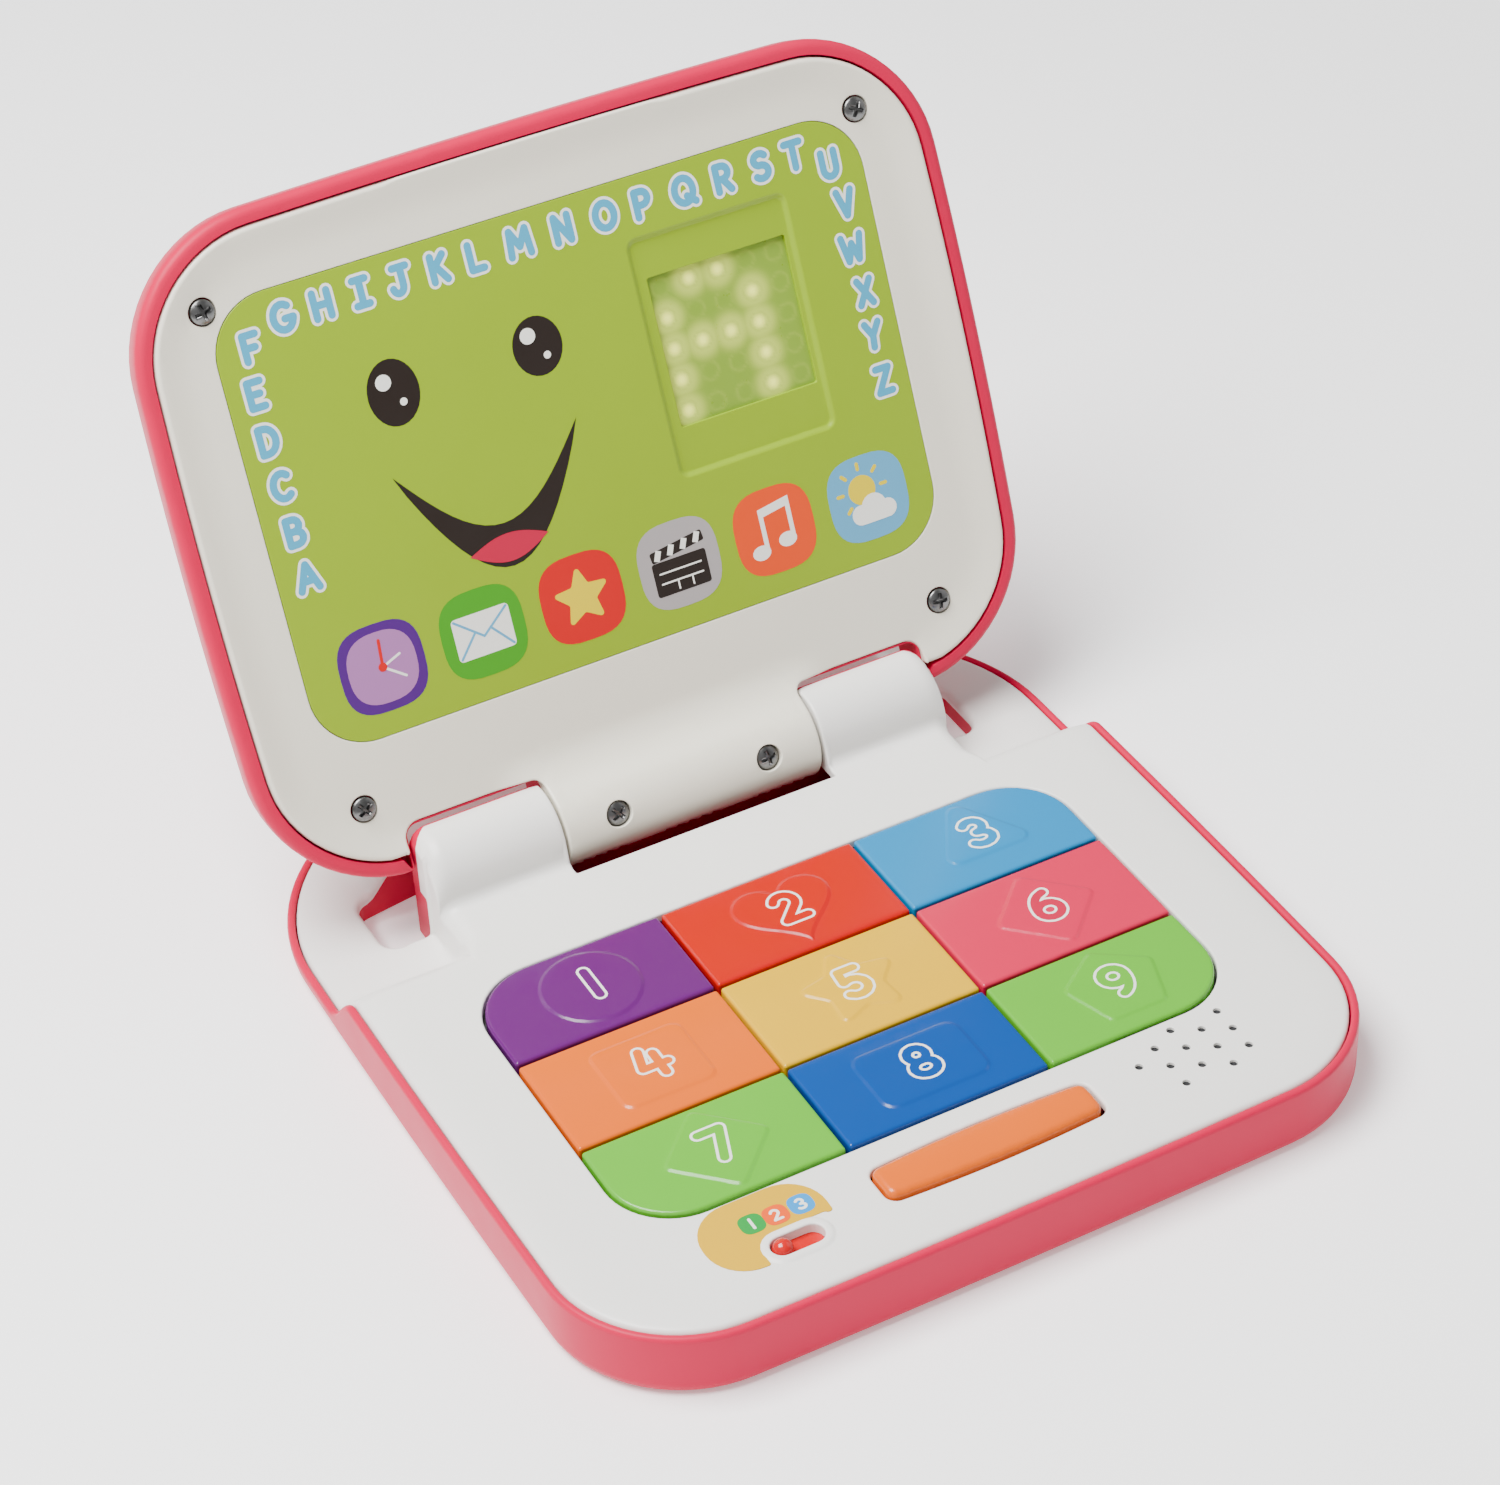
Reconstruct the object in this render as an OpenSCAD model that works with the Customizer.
// Toddler's toy laptop: a clamshell with a carry handle behind the hinge.
// X runs to the user's right, Y away from the user, Z up. The origin is the middle of
// the base's footprint on the table. The lid is drawn open, leaning back on its stop.

/* [Base] */
// Width of the base across its coloured rim
base_w = 240; // [236:1:244]
// Depth of the base from its front rim to the back of the handle
base_d = 256; // [254:1:260]
// Height of the coloured rim along the front and the sides
rim_h = 20.5; // [20:0.1:21]
// Height of the white deck around the keys
deck_z = 21.3; // [21:0.1:21.6]
// Wall thickness of the moulded shells
wall = 2.2; // [1.8:0.1:2.4]
// Radius of the two front corners
front_r = 38; // [30:1:44]
// Radius of the two rear corners
rear_r = 62; // [50:1:64]

/* [Hinge and lid] */
// Distance of the hinge axis behind the middle of the base
axis_y = 67; // [66:0.5:68]
// Height of the hinge axis above the table
axis_z = 25; // [25:0.1:25.5]
// How far the open lid leans back from upright, in degrees
lid_lean = 22.5; // [10:0.5:25]
// Width of the lid across its coloured rim
lid_w = 245; // [240:1:248]
// Top edge of the lid, measured up the lid from the hinge axis
lid_top = 193.5; // [190:0.5:196]
// Thickness of the lid
lid_t = 16.5; // [15:0.5:17]
// Radius of the knuckles around the hinge axis
knuckle_r = 13.2; // [13:0.1:13.4]

/* [Keys] */
// Width of the block of nine keys
block_w = 181.4; // [180:0.2:182]
// Depth of the block of nine keys
block_d = 106.2; // [105:0.2:107]
// Dark gap between two keys
key_gap = 1; // [0.8:0.1:1.4]
// Height of the key tops
key_z = 22.1; // [21.8:0.1:22.3]
// Travel of a key, and of the press bar
travel = 1.5; // [1:0.1:1.5]

/* [Batteries] */
// Diameter of one AA cell
cell_d = 14.5; // [14:0.1:14.6]
// Length of one AA cell
cell_l = 50.5; // [50:0.1:50.5]

/* [Hidden] */

eps = 0.01;
// The outlines' sides are slightly convex: how far, on the sides and on the ends
base_bow = [1.5, 1.4];
lid_bow = [2.6, 1.9];
rim_t = 2.4;          // rim left showing round the white cover
floor_t = 2.2;

// The deck steps down to a low rear deck, so that the open lid has room to lean back
step_y = [30, 47];    // start and end of the S-shaped step
low_rim_z = 7.5;
low_deck_z = 8.6;

// Hinge zone, as distances from the middle
barrel_x = 41;        // half the length of the lid's barrel
knuckle_x = [41.5, 81];
knuckle_back = 4.5;   // flat back of the knuckle, behind the axis
slot_y = 48.5;        // front edge of the slot in front of the barrel
barrel_r = 13;
pin_r = 2.5;
pin_x = [30, 62];
pin_play = 0.05;
rib_x = 57.5;         // inner rib of a knuckle, which holds the pin's outer end
cable_r = 1;
cable_x = [8, 12];    // where the cable leaves the barrel for the lid

// Handle opening: straight in front, curved behind
hole_x = 96;
hole_front_y = 60;
hole_arc_r = 223;
hole_arc_y = -132;
grip_z = 16;          // top of the raised grip behind the opening
grip_x = [82, 92];
grip_back_y = 119;

// Keys
block_y = -33.1;
block_r = 19;
inner_edge = [30.5, 18.6];   // lines between the keys, either side of the middle
cell_x = [-block_w, -inner_edge.x, inner_edge.x, block_w];
cell_y_edge = [block_d, inner_edge.y, -inner_edge.y, -block_d];
col_x = [for (s = [-1:1]) s * (inner_edge.x + block_w / 2) / 2];
row_y = [for (s = [1:-1:-1]) s * (inner_edge.y + block_d / 2) / 2];
frame_z = [14, 15.6];
board_z = [8, 9.6];
membrane_t = 1;
dome_z = 12;
skirt_z = frame_z[1] + travel + 0.2;
hook_z = 12.4;
leg_x = 22;           // the two hooked legs of each key stand this far from its middle

// Press bar
bar_pos = [1.7, -102];
bar_size = [64, 13.6];
bar_bow = [0, 1.7];
bar_z = 23.2;

// Mode switch
slot_pos = [-57.5, -108];
slot_l = 15.2;
slot_w = 6.6;
mode_travel = 8.6;

// Power switch, underneath
power_pos = [-10, -105];
power_travel = 6;

// Speaker
speaker_pos = [65, -100.5];
speaker_r = 13.6;

// Battery bay
bay_x = 77.6;
bay_y = [26.5, 44.5];
cell_y = 35.5;
cell_z = 2.4 + cell_d / 2;
door_t = 1.7;
door_screw = [0, 20.5];

// Fasteners: places of the screws on the left; they are mirrored to the right
base_screw_pos = [[-108, -98], [-106, -30], [-101, 20], [-104, 88]];
frame_screw_pos = [[-94, 16], [-94, -33], [-94, -74]];
board_screw_pos = [[-30.3, 18], [-30.3, -84]];
lid_screw_pos = [[-99.2, 169], [-92, 23.6]];
barrel_screw_pos = [-24, 4.5];

// Lid, in its own frame: X along the hinge, Y up the lid, Z out of its face
lid_low = 0.5;
face_w = 3;           // front of the bezel's border, in front of the hinge axis
dish_w = 1;           // sunken field inside the border
lid_rim = 4.4;        // coloured rim left showing round the bezel
lid_r = 38;
dish_inset = 9;
cutout_v = 14.4;      // the lid is cut away round the knuckles up to here
panel_mid = [-0.5, 105.5];
panel_size = [197, 128.5];
panel_r = 21;
window_mid = [48.2, 119];
window_size = 43.6;
led_pitch = 9;

// Points along a quarter circle
function quarter(cx, cy, r, a0, n = 9) =
  [for (i = [0:n]) [cx + r * cos(a0 + 90 * i / n), cy + r * sin(a0 + 90 * i / n)]];

// Points between two corners of a side, so that its bow shows
function run(a, b, n = 6) = [for (i = [1:n - 1]) a + (b - a) * i / n];

// Rectangle with round corners; rf is the radius at -Y, rr the radius at +Y
function rounded(a, b, rf, rr) = concat(
  quarter(a - rr, b - rr, rr, 0), run([a - rr, b], [rr - a, b]),
  quarter(rr - a, b - rr, rr, 90), run([-a, b - rr], [-a, rf - b]),
  quarter(rf - a, rf - b, rf, 180), run([rf - a, -b], [a - rf, -b]),
  quarter(a - rf, rf - b, rf, 270), run([a, rf - b], [a, b - rr]));

// The same with slightly convex sides
function bowed(w, d, rf, rr, bow) =
  let (a = w / 2 - bow.x, b = d / 2 - bow.y)
  [for (p = rounded(a, b, rf, rr))
    [p.x * (1 + bow.x / a * (1 - pow(p.y / b, 2))), p.y * (1 + bow.y / b * (1 - pow(p.x / a, 2)))]];

module base_outline(inset = 0)
  polygon(bowed(base_w - 2 * inset, base_d - 2 * inset, front_r - inset, rear_r - inset, base_bow));

module rounded_rect(w, d, r)
  polygon(rounded(w / 2, d / 2, r, r));

module stadium(l, w) {
  square([l - w, w], center = true);
  for (s = [-1, 1]) translate([s * (l - w) / 2, 0]) circle(d = w, $fn = 32);
}

module block(x, y, z) // a box from its ranges along X, Y and Z
  translate([x[0], y[0], z[0]]) cube([x[1] - x[0], y[1] - y[0], z[1] - z[0]]);

module post(r, z, pos = [0, 0])
  translate([pos.x, pos.y, z[0]]) cylinder(r = r, h = z[1] - z[0], $fn = 32);

module both_sides() { children(); mirror([1, 0, 0]) children(); }

module across(x) // turns a Y-Z profile into a bar that lies along X
  translate([x[0], 0, 0]) rotate([90, 0, 90]) linear_extrude(x[1] - x[0]) children();

// Side profile of the deck, from z below up to its top, with the S-shaped step
function step_line(high, low, n = 10) =
  [for (i = [0:n]) [step_y[0] + (step_y[1] - step_y[0]) * i / n,
                    low + (high - low) * (1 + cos(180 * i / n)) / 2]];
module step_profile(high, low, thick)
  polygon(concat([[-base_d, high]], step_line(high, low), [[base_d, low], [base_d, low - thick]],
    [for (i = [10:-1:0]) step_line(high, low)[i] - [0, thick]], [[-base_d, high - thick]]));

// Plan of the opening behind the hinge, grown by g
module handle_plan(g = 0) difference() {
  intersection() {
    translate([0, hole_arc_y]) circle(r = hole_arc_r + g, $fn = 200);
    translate([-hole_x - g, slot_y - g]) square([2 * (hole_x + g), base_d]);
  }
  both_sides() {
    translate([knuckle_x[1] - g, 0]) square([base_w, hole_front_y - g]);
    translate([knuckle_x[0] + g, 0])
      square([knuckle_x[1] - knuckle_x[0] - 2 * g, axis_y + knuckle_back - g]);
  }
}

// Cross-section of a knuckle; inset makes its hollow
module knuckle_profile(inset = 0) {
  r = knuckle_r - inset;
  intersection() {
    union() {
      translate([axis_y, axis_z]) circle(r = r, $fn = 64);
      translate([axis_y - r, 0]) square([2 * r, axis_z]);
    }
    translate([0, -eps]) square([axis_y + knuckle_back - inset, 60]);
  }
}

module pin_bore(r = pin_r)
  translate([-100, axis_y, axis_z]) rotate([0, 90, 0]) cylinder(r = r, h = 200, $fn = 48);

// Round-headed screw with a cross recess: z = 0 is under the head, the shank points down
module screw(shank_r, l, head_r, head_h) difference() {
  union() {
    translate([0, 0, -l]) cylinder(r = shank_r, h = l + eps, $fn = 24);
    cylinder(r = head_r, h = head_h * 0.55, $fn = 32);
    translate([0, 0, head_h * 0.55 - eps]) cylinder(r1 = head_r, r2 = head_r * 0.55, h = head_h * 0.45, $fn = 32);
  }
  for (a = [0, 90]) rotate([0, 0, a]) translate([0, 0, head_h])
    cube([head_r * 1.1, head_r * 0.25, head_h], center = true);
}

// ---------------------------------------------------------------- base shells

module base_lower_shell() color("hotpink") {
  difference() {
    union() {
      difference() {
        linear_extrude(rim_h) base_outline();
        // hollow, from the floor up; the walls of the handle opening stay
        difference() {
          translate([0, 0, floor_t]) linear_extrude(60) base_outline(wall);
          linear_extrude(70) handle_plan(2);
        }
      }
      // battery bay walls
      for (y = [bay_y[0] - 1.5, bay_y[1]]) block([-bay_x - 1.5, bay_x + 1.5], [y, y + 1.5], [1, 11]);
      both_sides() block([bay_x, bay_x + 1.5], bay_y, [1, 11]);
      both_sides() for (p = base_screw_pos)
        post(3.6, [1, p.y > step_y[0] ? 4.5 : 8], p);
      post(3.2, [1, 6.2], door_screw);
    }
    // the rim and the inner walls step down behind the keys; the hinge zone stays high
    difference() {
      union() {
        across([-base_w, base_w]) difference() {
          translate([-base_d, 0]) square([2 * base_d, 90]);
          step_profile(rim_h, low_rim_z, 60);
        }
        intersection() {
          translate([0, 0, low_deck_z - wall]) linear_extrude(60) base_outline(wall);
          block([-base_w, base_w], [step_y[0], base_d], [0, 60]);
        }
      }
      block([-knuckle_x[1], knuckle_x[1]], [0, axis_y + knuckle_back], [0, deck_z - wall]);
    }
    linear_extrude(70) handle_plan();
    // battery bay is open underneath, with a ledge for the door
    block([-bay_x + 1, bay_x - 1], bay_y + [0.5, -0.5], [-1, 5]);
    block([-bay_x - 2, bay_x + 2], bay_y + [-1.2, 1.2], [-1, door_t + 0.2]);
    translate([door_screw.x - 7, door_screw.y - 4.5, -1]) cube([14, 10, door_t + 1.7]);
    post(1.3, [-1, 7], door_screw);
    both_sides() for (p = base_screw_pos) {
      post(1.7, [-1, 30], p);
      post(3.3, [-1, 1.8], p);
    }
    // window for the power knob
    translate([power_pos.x, power_pos.y, -1]) linear_extrude(9) square([14.4, 5.4], center = true);
  }
  knuckle_rear_halves();
  grip_front_wall();
}

// Rear halves of the two hinge knuckles, each carrying half of a pin
module knuckle_rear_halves() both_sides() difference() {
  intersection() {
    across(knuckle_x) knuckle_profile();
    block([0, base_w], [axis_y, axis_y + 20], [1, 60]);
  }
  difference() {
    across(knuckle_x + [2.2, -2.2]) knuckle_profile(2);
    block([rib_x, rib_x + 2.5], [axis_y, axis_y + 20], [axis_z - 6, 60]);
  }
  pin_bore();
}

// Wall behind the opening, where the fingers close round the grip
module grip_front_wall() intersection() {
  linear_extrude(grip_z - 2) difference() {
    translate([0, hole_arc_y]) circle(r = hole_arc_r + 2, $fn = 200);
    translate([0, hole_arc_y]) circle(r = hole_arc_r, $fn = 200);
  }
  block([-grip_x[0], grip_x[0]], [axis_y, base_d / 2], [1, grip_z]);
}

module base_top_cover() color("whitesmoke") {
  difference() {
    union() {
      intersection() {
        linear_extrude(60) base_outline(rim_t + 0.2);
        across([-base_w, base_w]) step_profile(deck_z, low_deck_z, wall);
      }
      hinge_hump();
      // raised grip
      intersection() {
        grip_solid(0, low_deck_z - wall);
        linear_extrude(60) difference() { base_outline(rim_t + 3); handle_plan(); }
      }
      both_sides() for (p = base_screw_pos)
        post(3.2, [p.y > step_y[0] ? 4.5 : 8, p.y > step_y[0] ? low_deck_z - 1 : deck_z - 1], p);
      both_sides() for (p = frame_screw_pos) post(2.6, [frame_z[1], deck_z - 1], p);
      // raised edge round the mode switch's slot
      translate([slot_pos.x, slot_pos.y, deck_z - eps]) linear_extrude(0.6) stadium(slot_l + 4, slot_w + 4);
    }
    // hollow under the hinge hump
    difference() {
      block([-knuckle_x[1] + 1, knuckle_x[1] - 1], [step_y[0] - 6, axis_y + knuckle_back + 0.5], [0, deck_z - wall]);
      both_sides() for (p = frame_screw_pos) post(2.6, [0, 30], p);
    }
    block([-knuckle_x[1] - 0.05, knuckle_x[1] + 0.05], [hole_front_y - 2.05, axis_y + knuckle_back + 0.5],
      [0, deck_z - wall]);
    across([-knuckle_x[1] + 2.2, -knuckle_x[0] - 2.2]) knuckle_hollow();
    across([knuckle_x[0] + 2.2, knuckle_x[1] - 2.2]) knuckle_hollow();
    block([-knuckle_x[0], knuckle_x[0]], [slot_y, axis_y + 40], [-1, 60]);
    linear_extrude(70) handle_plan();
    intersection() {
      grip_solid(wall, 0);
      linear_extrude(60) difference() { base_outline(rim_t + 5); handle_plan(-eps); }
    }
    grip_wall_room();
    pin_bore();
    // openings in the deck
    translate([0, block_y, 10]) linear_extrude(30) rounded_rect(block_w + 1.6, block_d + 1.6, block_r + 0.8);
    translate([bar_pos.x, bar_pos.y, 10]) linear_extrude(30) bar_plan(0.7);
    translate([slot_pos.x, slot_pos.y, 10]) linear_extrude(30) stadium(slot_l, slot_w);
    for (p = speaker_holes()) post(1.1, [10, 30], p);
    both_sides() for (p = base_screw_pos) post(1.5, [0, p.y > step_y[0] ? low_deck_z - 2 : 17], p);
    both_sides() for (p = frame_screw_pos) post(1.2, [10, deck_z - wall - 0.4], p);
  }
}

// Deck and front halves of the knuckles, which stay high while the sides step down
module hinge_hump() both_sides() {
  difference() {
    block([0, knuckle_x[1] + 1], [step_y[0] - 2, slot_y], [low_deck_z - wall, deck_z]);
    block([-1, knuckle_x[1] - 1], [0, slot_y + 1], [0, deck_z - wall]);
  }
  block([knuckle_x[0], knuckle_x[1] + 1], [slot_y - 2, axis_y - knuckle_r + 1], [deck_z - wall, deck_z]);
  block([knuckle_x[1] - 1, knuckle_x[1] + 1], [slot_y - 2, hole_front_y - 2], [low_deck_z - wall, deck_z]);
  block([knuckle_x[1] + 0.05, knuckle_x[1] + 1], [slot_y, hole_front_y], [low_deck_z - wall, deck_z]);
  intersection() {
    across(knuckle_x) knuckle_profile();
    block([0, base_w], [0, axis_y], [deck_z - wall, 60]);
  }
}

module knuckle_hollow() difference() {
  knuckle_profile(2);
  translate([0, 0]) square([axis_y - knuckle_r, 60]);
}

// The grip's raised top, with sloped ends; low is where its sides start
module grip_solid(t, low) translate([0, grip_back_y - t, 0]) rotate([90, 0, 0])
  linear_extrude(grip_back_y - t - axis_y - knuckle_back - 0.6)
  polygon([[t - grip_x[1], low], [t - grip_x[1], low_deck_z - t], [t / 2 - grip_x[0], grip_z - t],
           [grip_x[0] - t / 2, grip_z - t], [grip_x[1] - t, low_deck_z - t], [grip_x[1] - t, low]]);

// Room for the lower shell's wall under the front of the grip
module grip_wall_room() intersection() {
  translate([0, 0, -1]) linear_extrude(grip_z - 1) difference() {
    translate([0, hole_arc_y]) circle(r = hole_arc_r + 2.1, $fn = 200);
    translate([0, hole_arc_y]) circle(r = hole_arc_r - 2, $fn = 200);
  }
  block([-grip_x[0] - 0.1, grip_x[0] + 0.1], [axis_y, base_d / 2], [-1, grip_z]);
}

// Thirteen holes on a staggered grid
function speaker_holes() = [for (c = [0:4]) let (n = c == 0 ? 0 : 2, shift = c % 2 == 1 ? -0.5 : 0)
  for (k = [-n / 2:1:n / 2]) [50.2 + 7.35 * c, -98.5 + 7.6 * (k + shift)]];

module base_screws() color("silver") both_sides() for (p = base_screw_pos)
  translate([p.x, p.y, 1.8]) rotate([180, 0, 0]) screw(1.5, p.y > step_y[0] ? 4.4 : 14, 3, 1.5);

// ------------------------------------------------------------------- keyboard

module bar_plan(g = 0)
  polygon(bowed(bar_size.x + 2 * g, bar_size.y + 2 * g, 3.5 + g, 3.5 + g, bar_bow));

// Plan of the key in column c and row r, shrunk by g
module key_plan(c, r, g = 0) translate([0, block_y]) intersection() {
  rounded_rect(block_w - 2 * g, block_d - 2 * g, block_r - g);
  translate([cell_x[c] + key_gap / 2 + g, cell_y_edge[r + 1] + key_gap / 2 + g])
    square([cell_x[c + 1] - cell_x[c] - key_gap - 2 * g, cell_y_edge[r] - cell_y_edge[r + 1] - key_gap - 2 * g]);
}

module key(c, r) {
  mid = [col_x[c], block_y + row_y[r]];
  difference() {
    translate([0, 0, skirt_z]) linear_extrude(key_z - skirt_z) key_plan(c, r);
    translate([0, 0, skirt_z - 1]) linear_extrude(key_z - skirt_z - 0.8) key_plan(c, r, 1.6);
  }
  post(3, [dome_z + travel + 0.2, key_z - 1], mid);
  for (s = [-1, 1]) translate([mid.x + s * leg_x, mid.y, 0]) {
    block([-1, 1], [-2, 2], [hook_z, key_z - 1]);
    block(s > 0 ? [-1, 2.2] : [-2.2, 1], [-2, 2], [hook_z, frame_z[0] - 0.2]);
  }
}

module key_1() color("mediumpurple") key(0, 0);
module key_2() color("red") key(1, 0);
module key_3() color("deepskyblue") key(2, 0);
module key_4() color("darkorange") key(0, 1);
module key_5() color("gold") key(1, 1);
module key_6() color("palevioletred") key(2, 1);
module key_7() color("yellowgreen") key(0, 2);
module key_8() color("royalblue") key(1, 2);
module key_9() color("yellowgreen") key(2, 2);

module each_key() for (c = [0:2], r = [0:2]) translate([col_x[c], block_y + row_y[r], 0]) children();

// Plate that guides the keys' plungers and stops their hooked legs
module key_frame() color("lightgray") difference() {
  union() {
    translate([0, block_y, frame_z[0]]) linear_extrude(frame_z[1] - frame_z[0])
      rounded_rect(block_w + 12, block_d + 2, 4);
    both_sides() for (p = board_screw_pos) post(2.4, [board_z[1], frame_z[0] + eps], p);
  }
  each_key() {
    post(3.5, [0, 40]);
    for (s = [-1, 1]) translate([s * leg_x, 0, 0]) block([-1.4, 1.4], [-2.4, 2.4], [0, 40]);
  }
  both_sides() for (p = frame_screw_pos) post(1.5, [0, 40], p);
  both_sides() for (p = board_screw_pos) post(1, [0, frame_z[1] - 1], p);
}

module frame_screws() color("silver") both_sides() for (p = frame_screw_pos)
  translate([p.x, p.y, frame_z[0]]) rotate([180, 0, 0]) screw(1.2, 4.6, 2.3, 1.3);

module key_membrane() color("gainsboro") difference() {
  union() {
    translate([0, block_y, board_z[1]]) linear_extrude(membrane_t) rounded_rect(172, block_d - 6, 4);
    each_key() post(4.4, [board_z[1], 11.3]);
    each_key() post(3, [board_z[1], dome_z]);
  }
  both_sides() for (p = board_screw_pos) post(2.7, [0, 40], p);
}

module key_board() color("seagreen") difference() {
  translate([0, block_y, board_z[0]]) linear_extrude(board_z[1] - board_z[0]) rounded_rect(176, block_d + 2, 3);
  both_sides() for (p = board_screw_pos) post(1.2, [0, 40], p);
}

module board_screws() color("silver") both_sides() for (p = board_screw_pos)
  translate([p.x, p.y, board_z[0]]) rotate([180, 0, 0]) screw(1, 6, 2, 1.2);

module press_bar() color("darkorange") {
  translate([bar_pos.x, bar_pos.y, 17.6]) linear_extrude(bar_z - 17.6) bar_plan();
  translate([bar_pos.x, bar_pos.y, 17.4]) linear_extrude(1.4) bar_plan(1.8);
  post(2.2, [13 + travel + 0.3, 18], bar_pos);
}

// ----------------------------------------------------- electronics and controls

module main_board() color("seagreen") block([-74, 38], [-119, -92.5], board_z);

module bar_switch() color("dimgray") translate([bar_pos.x, bar_pos.y, 0]) {
  block([-3, 3], [-3, 3], [board_z[1], 12.2]);
  post(1.6, [12, 13]);
}

module mode_label() color("gold") difference() {
  translate([-62, -99.9, deck_z]) linear_extrude(0.2) rounded_rect(36, 24.4, 12);
  translate([slot_pos.x, slot_pos.y, 0]) linear_extrude(40) stadium(slot_l + 4.4, slot_w + 4.4);
  block([-55, -40], [-115, -107], [0, 40]);
}

module mode_knob() color("red") translate([slot_pos.x - mode_travel / 2, slot_pos.y, 0]) {
  translate([0, 0, 20.4]) sphere(r = 2.9, $fn = 40);
  post(1.7, [15.4, 20]);
  block([-6, 6], [-4.4, 4.4], [17.2, 18.6]);
}

module mode_switch() color("dimgray") translate([slot_pos.x, slot_pos.y, 0]) difference() {
  block([-8.5, 8.5], [-3.4, 3.4], [board_z[1], 16.6]);
  block([-7, 7], [-2, 2], [15, 20]);
}

module power_knob() color("whitesmoke") translate([power_pos.x - power_travel / 2, power_pos.y, 0]) {
  block([-4, 4], [-2.5, 2.5], [0.4, 2.4]);
  block([-6.2, 6.2], [-4.4, 4.4], [2.4, 3.2]);
  block([-1, 1], [-1.5, 1.5], [3, 4.2]);
}

module power_switch() color("dimgray") translate([power_pos.x, power_pos.y, 0]) difference() {
  block([-9, 9], [-3.5, 3.5], [3.4, board_z[0]]);
  block([-4.4, 4.4], [-1.8, 1.8], [3, 4.6]);
}

module speaker_frame() color("dimgray") translate([speaker_pos.x, speaker_pos.y, 0]) difference() {
  rotate_extrude($fn = 64) polygon([[6.6, 11.4], [9, 11.4], [12, 15.6], [12, 17.2], [speaker_r, 17.2],
    [speaker_r, deck_z - wall - 0.1], [11.5, deck_z - wall - 0.1], [11.5, 17.6], [8.6, 12.4], [6.6, 12.4]]);
}

module speaker_cone() color("darkslategray") translate([speaker_pos.x, speaker_pos.y, 0])
  rotate_extrude($fn = 64) polygon([[0, 14.6], [4.5, 14], [11.3, 17.9], [11.3, 18.4], [4.5, 14.7], [0, 15.3]]);

module speaker_magnet() color("silver") translate([speaker_pos.x, speaker_pos.y, 0]) post(8, [6.4, 11.3]);

// -------------------------------------------------------------------- batteries

module batteries() color("darkgray") for (i = [-1:1])
  translate([i * (cell_l + 0.4) - cell_l / 2, cell_y, cell_z]) rotate([0, 90, 0]) {
    cylinder(d = cell_d, h = cell_l - 1.2, $fn = 48);
    cylinder(d = 5.5, h = cell_l, $fn = 32);
  }

module battery_contacts() color("silver") for (s = [-1, 1])
  translate([s * (1.5 * cell_l + 0.9), cell_y, cell_z]) block([-0.35, 0.35], [-5, 5], [-6, 6]);

module battery_door() color("hotpink") difference() {
  union() {
    block([-bay_x - 1.6, bay_x + 1.6], bay_y + [-0.8, 0.3], [0, door_t]);
    // rear edge, rounded about the line it swings on
    block([-bay_x - 1.6, bay_x + 1.6], [bay_y[1], bay_y[1] + 0.8], [0.5, door_t]);
    translate([-bay_x - 1.6, bay_y[1] + 0.3, 0.5]) rotate([0, 90, 0])
      cylinder(r = 0.5, h = 2 * bay_x + 3.2, $fn = 32);
    translate([door_screw.x - 6.6, door_screw.y - 4.1, 0]) cube([13.2, 9.5, door_t + 0.6]);
  }
  post(1.6, [-1, 9], door_screw);
  post(2.9, [-1, 1.2], door_screw);
}

module battery_door_screw() color("silver")
  translate([door_screw.x, door_screw.y, 1.2]) rotate([180, 0, 0]) screw(1.25, 4.4, 2.6, 1);

// ------------------------------------------------------------- hinge and cable

// The left pin is solid; the cable to the lid runs through the hollow right one
module hinge_pins() color("silver") {
  translate([-pin_x[1], axis_y, axis_z]) rotate([0, 90, 0]) cylinder(r = pin_r, h = pin_x[1] - pin_x[0], $fn = 48);
  translate([pin_x[0], axis_y, axis_z]) rotate([0, 90, 0]) difference() {
    cylinder(r = pin_r, h = pin_x[1] - pin_x[0], $fn = 48);
    translate([0, 0, -1]) cylinder(r = 1.6, h = 60, $fn = 32);
  }
}

// A ribbon of the cable, seen edge on: a band of even thickness along a route
module ribbon(route, t = 0.8) for (i = [0:len(route) - 2])
  let (d = route[i + 1] - route[i])
  translate(route[i]) rotate(atan2(d.y, d.x)) translate([-t / 2, -t / 2]) square([norm(d) + t, t]);

module base_cable() color("dimgray") {
  translate([42.5, axis_y, axis_z]) rotate([0, 90, 0]) cylinder(r = cable_r, h = 25, $fn = 32);
  across([66, 70]) ribbon([[axis_y, axis_z], [55, 18.1], [23.1, 18.1], [23.1, 8.8], [21.6, 8.8]]);
}

// ------------------------------------------------------------------------- lid

// Places what is drawn in the lid's own frame
module on_lid() translate([0, axis_y, axis_z]) rotate([90 - lid_lean, 0, 0]) children();

module lid_outline(inset = 0) translate([0, (lid_top + lid_low) / 2])
  polygon(bowed(lid_w - 2 * inset, lid_top - lid_low - 2 * inset, lid_r - inset, lid_r - inset, lid_bow));

module knuckle_cutouts() both_sides()
  block([knuckle_x[0] - 0.7, knuckle_x[1] + 1], [-20, cutout_v], [-30, 30]);

module lid_slab(inset, w) translate([0, 0, w[0]]) linear_extrude(w[1] - w[0]) lid_outline(inset);

module panel_plan(g = 0) translate(panel_mid)
  rounded_rect(panel_size.x + 2 * g, panel_size.y + 2 * g, panel_r + g);

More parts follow.
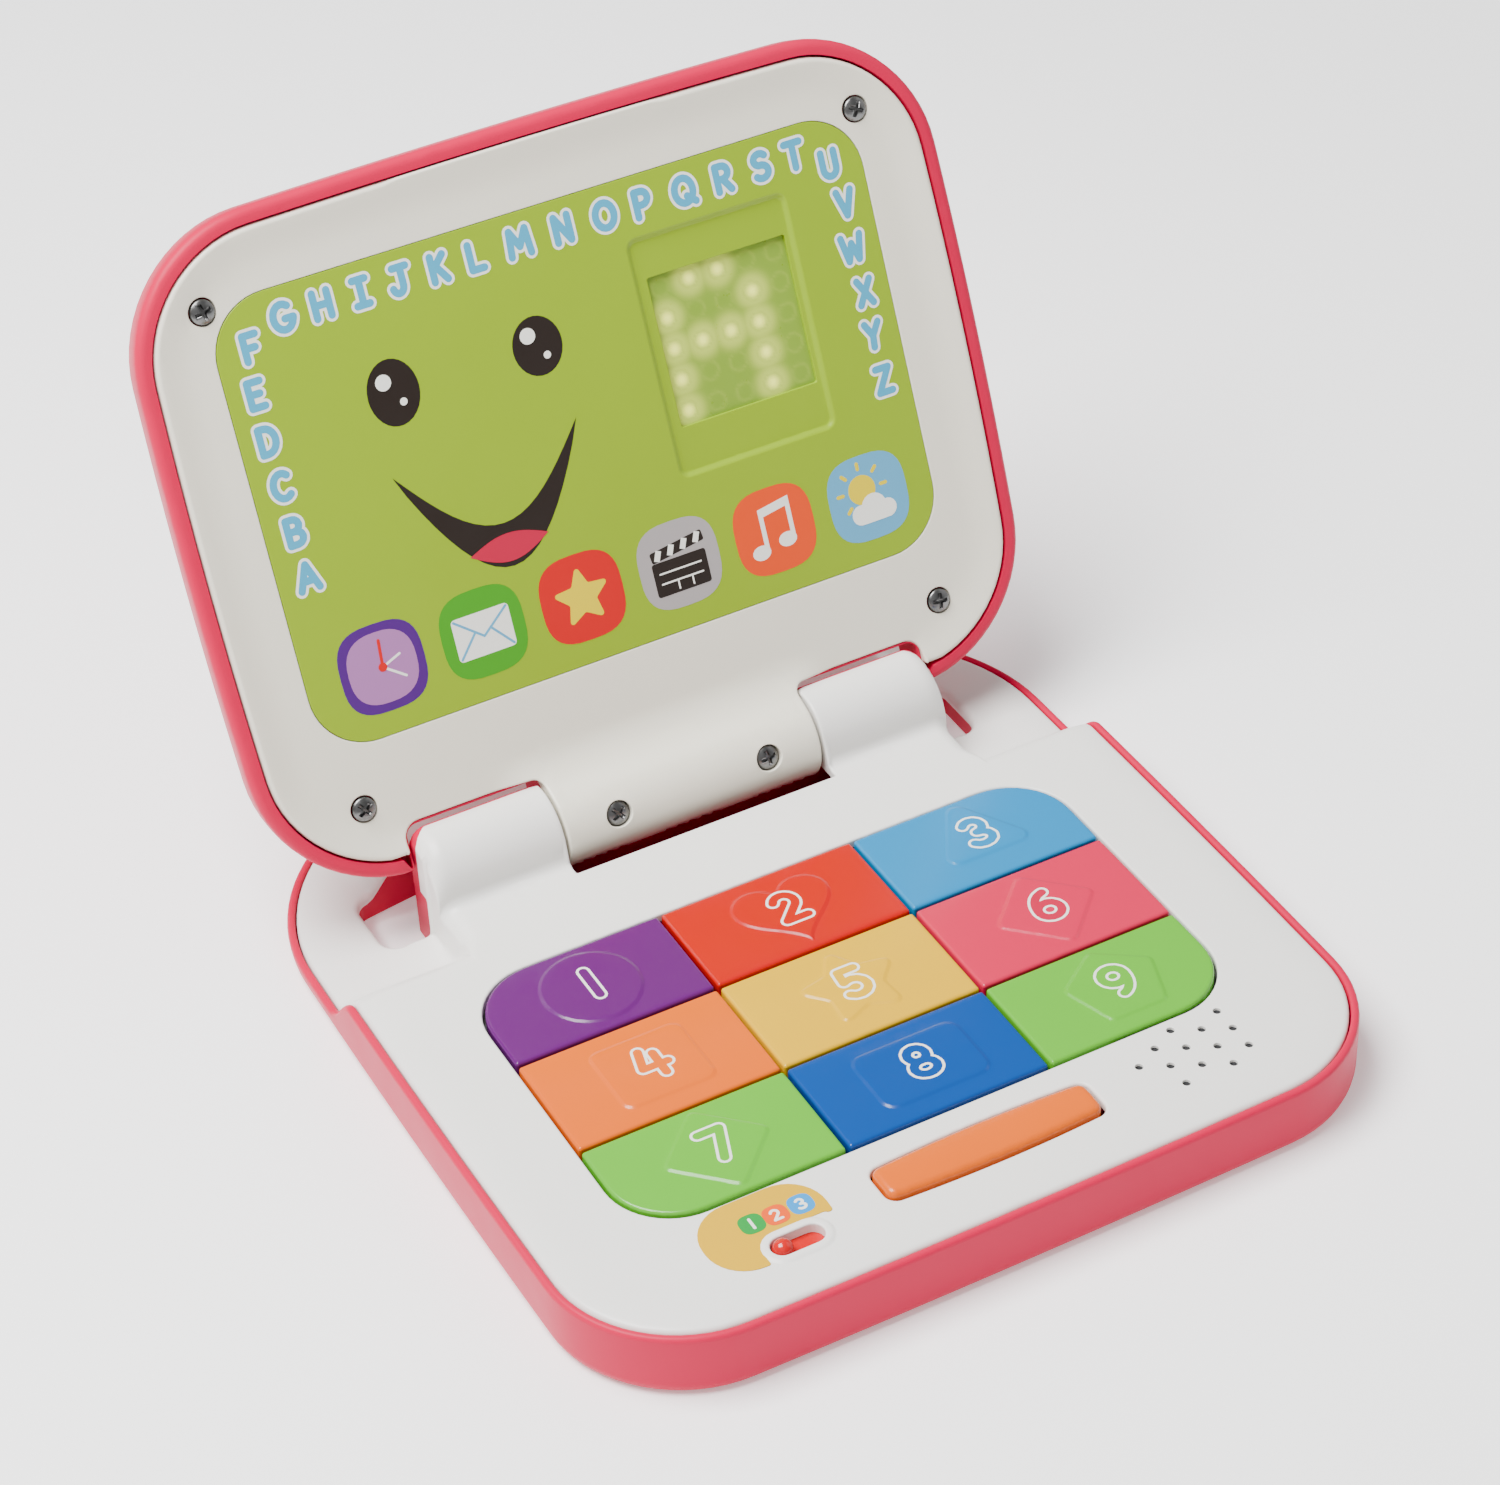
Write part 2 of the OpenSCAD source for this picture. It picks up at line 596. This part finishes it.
module window_plan(size) translate(window_mid) rounded_rect(size, size, 2);

lid_back = face_w - lid_t;

module lid_back_shell() color("hotpink") on_lid() difference() {
  union() {
    difference() {
      lid_slab(0, [lid_back, face_w - 0.4]);
      difference() {
        lid_slab(lid_rim - 0.2, [lid_back + wall, 10]);
        // walls beside the knuckle cut-outs
        both_sides() block([knuckle_x[0] - 2.5, knuckle_x[1] + 3], [-20, cutout_v + 2], [-30, -1.4]);
      }
    }
    both_sides() for (p = lid_screw_pos) post(3.6, [lid_back + 1, -1.4], p);
    // rear half of the barrel
    difference() {
      translate([-barrel_x + 0.5, 0, 0]) rotate([0, 90, 0]) cylinder(r = barrel_r, h = 2 * barrel_x - 1, $fn = 96);
      block([-60, 60], [-30, 30], [0, 30]);
    }
    both_sides() post(3.4, [-9, 0], barrel_screw_pos);
  }
  knuckle_cutouts();
  difference() {
    barrel_hollow();
    block([-60, 60], [-30, 30], [0, 30]);
    both_sides() post(3.4, [-30, 0], barrel_screw_pos);
  }
  block([-barrel_x - 4, barrel_x + 4], [-30, cutout_v + 3], [0, 30]);
  both_sides() for (p = lid_screw_pos) post(1.5, [lid_back + 3, 10], p);
  both_sides() post(1.5, [-7, 10], barrel_screw_pos);
  lid_pin_bore();
  cable_way();
}

module lid_pin_bore() translate([-60, 0, 0]) rotate([0, 90, 0]) cylinder(r = pin_r + pin_play, h = 120, $fn = 48);

// The barrel is hollow between the two bearing blocks that hold the pins
module barrel_hollow() translate([-28, 0, 0]) rotate([0, 90, 0]) cylinder(r = barrel_r - 2.2, h = 56, $fn = 64);

// Way for the cable from the barrel up into the lid
module cable_way() block(cable_x + [-0.5, 0.5], [3, cutout_v + 6], [-5.4, -2.6]);

module lid_bezel() color("whitesmoke") on_lid() difference() {
  union() {
    difference() {
      lid_slab(lid_rim, [-1.2, face_w]);
      lid_slab(lid_rim + dish_inset, [dish_w, 10]);
    }
    // front half of the barrel, blended into the border
    difference() {
      union() {
        translate([-barrel_x + 0.5, 0, 0]) rotate([0, 90, 0]) cylinder(r = barrel_r, h = 2 * barrel_x - 1, $fn = 96);
        block([-barrel_x + 0.5, barrel_x - 0.5], [0, 15], [0, 6]);
      }
      block([-60, 60], [-30, 30], [-30, 0]);
    }
    both_sides() post(3.4, [0, 8], barrel_screw_pos);
  }
  knuckle_cutouts();
  difference() {
    barrel_hollow();
    block([-60, 60], [-30, 30], [-30, 0]);
    both_sides() post(3.4, [0, 30], barrel_screw_pos);
  }
  block([-barrel_x - 1, barrel_x + 1], [-30, cutout_v + 3], [-30, 0]);
  lid_pin_bore();
  both_sides() for (p = lid_screw_pos) {
    post(1.6, [-30, 30], p);
    post(3.9, [0.4, 30], p);
  }
  both_sides() post(1.6, [-1, 30], barrel_screw_pos);
  both_sides() post(3.9, [9.2, 30], barrel_screw_pos);
  translate([0, 0, dish_w - 0.6]) linear_extrude(9) panel_plan(0.15);
  translate([0, 0, -5]) linear_extrude(9) window_plan(window_size);
}

module screen_panel() color("yellowgreen") on_lid() translate([0, 0, dish_w - 0.6]) linear_extrude(0.6)
  difference() { panel_plan(); window_plan(window_size); }

module led_window() color("palegreen") on_lid() translate([0, 0, -2.7]) linear_extrude(1.4) window_plan(48);

module each_led() for (i = [-2:2], j = [-2:2])
  translate([window_mid.x + i * led_pitch, window_mid.y + j * led_pitch, 0]) children();

module led_baffle() color("white") on_lid() difference() {
  translate([0, 0, -8.4]) linear_extrude(5.6) window_plan(50);
  each_led() post(3.6, [-20, 20]);
}

module leds() color("lightyellow") on_lid() each_led() post(1.5, [-8.4, -6.2]);

module led_board() color("seagreen") on_lid() translate([0, 0, -10]) linear_extrude(1.5) window_plan(54);

module lid_cable() color("dimgray") on_lid() {
  translate([9, 0, 0]) rotate([0, 90, 0]) cylinder(r = cable_r, h = 33, $fn = 32);
  across(cable_x) ribbon([[0, 0], [6, -4], [18, -4], [23.5, -8.9]]);
  translate([0, 0, -9.3]) linear_extrude(0.8)
    polygon([[cable_x[0], 22], [cable_x[1], 22], [42, 91.8], [38, 91.8]]);
}

module lid_screws() color("silver") on_lid() both_sides() for (p = lid_screw_pos)
  translate([p.x, p.y, 0.4]) screw(1.5, 10, 3.5, 2);

module barrel_screws() color("silver") on_lid() both_sides()
  translate([barrel_screw_pos.x, barrel_screw_pos.y, 9.2]) screw(1.5, 15, 3.5, 2);

// ------------------------------------------------------------------------ build

base_lower_shell();
base_top_cover();
base_screws();
key_frame();
frame_screws();
key_1();
key_2();
key_3();
key_4();
key_5();
key_6();
key_7();
key_8();
key_9();
key_membrane();
key_board();
board_screws();
main_board();
press_bar();
bar_switch();
mode_label();
mode_knob();
mode_switch();
power_knob();
power_switch();
speaker_frame();
speaker_cone();
speaker_magnet();
batteries();
battery_contacts();
battery_door();
battery_door_screw();
hinge_pins();
base_cable();
lid_cable();
lid_back_shell();
lid_bezel();
screen_panel();
led_window();
led_baffle();
leds();
led_board();
lid_screws();
barrel_screws();
